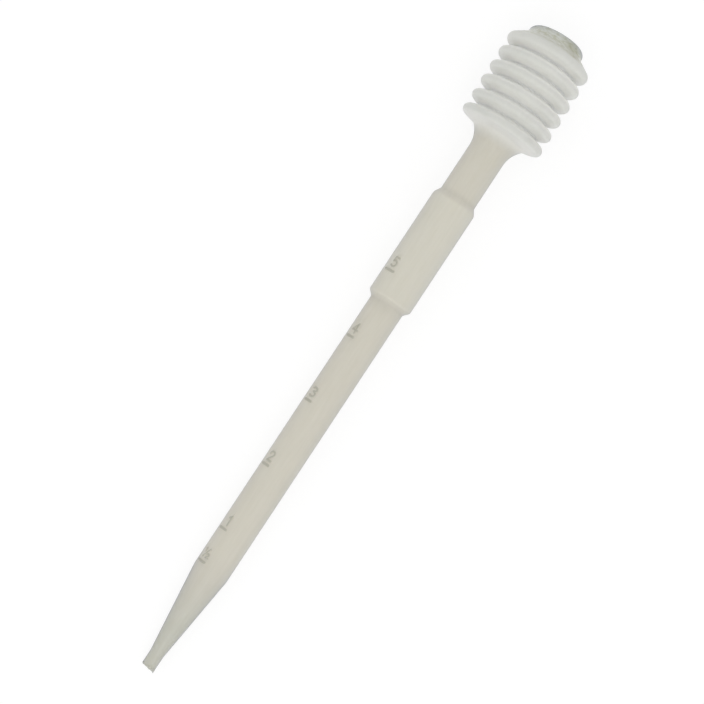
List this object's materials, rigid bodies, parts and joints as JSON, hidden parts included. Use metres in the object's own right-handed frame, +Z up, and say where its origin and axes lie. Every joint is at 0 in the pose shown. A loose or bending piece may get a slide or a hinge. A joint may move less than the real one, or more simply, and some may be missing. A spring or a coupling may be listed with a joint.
{
  "type": "plastic dropper pipette",
  "caption": "Blow-moulded dropper pipette with a tapered tip, a graduated stem, a wider holding sleeve and a bellows bulb closed by a round boss.",
  "frame": {"origin": "on the bench, under the middle of the box round the pipette as it lies", "axes": "+X towards the bulb, +Z up off the bench, +Y towards the graduated side; the pipette's own axis climbs 2.97 degrees towards the bulb"},
  "size_m": [0.1882, 0.023, 0.0242],
  "materials": {
    "polyethylene": "satin, milky and translucent"
  },
  "bodies": {
    "root": {"pipette_body": "polyethylene"}
  },
  "joints": []
}
